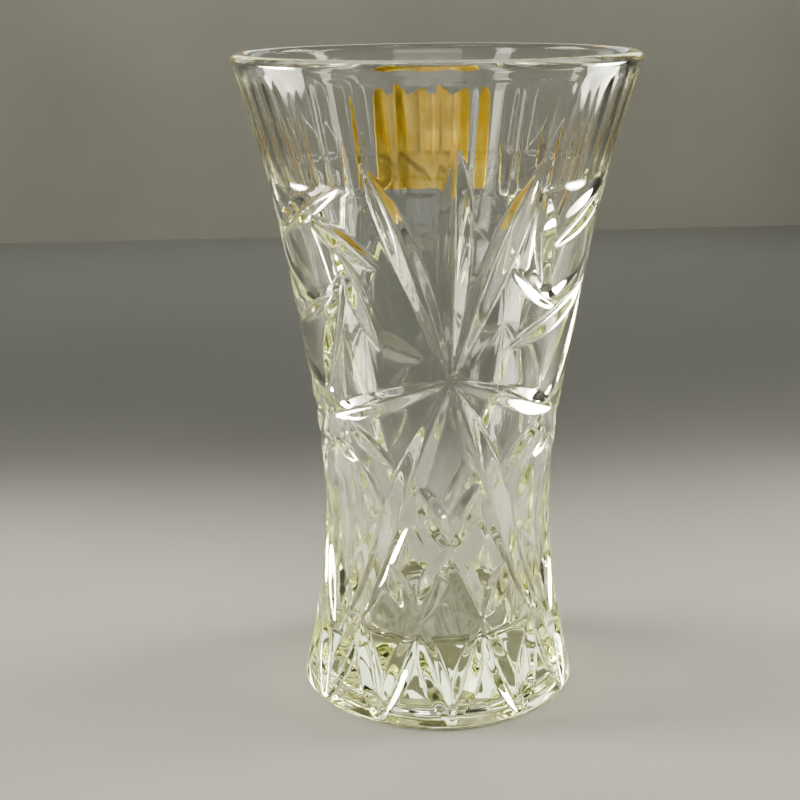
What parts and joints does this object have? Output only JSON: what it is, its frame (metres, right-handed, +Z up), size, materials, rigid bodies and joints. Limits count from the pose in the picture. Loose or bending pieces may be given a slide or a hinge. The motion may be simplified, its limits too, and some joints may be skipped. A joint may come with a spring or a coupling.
{
  "type": "flower vase",
  "caption": "Clear pressed-glass flower vase with a flared fluted rim, a drawn-in waist, mitre-cut stars and lattice on the wall, a thick foot and a plain foil label.",
  "frame": {"origin": "centre of the foot, on the surface the vase stands on", "axes": "+Z up the vase's axis, -Y towards the front star, which faces the viewer"},
  "size_m": [0.0912, 0.0912, 0.15],
  "materials": {
    "clear_glass": "fire-polished, clear with a faint warm tint",
    "gold_foil": "gold-coloured foil, satin"
  },
  "bodies": {
    "root": {"vase_body": "clear_glass", "foil_label": "gold_foil"}
  },
  "joints": []
}
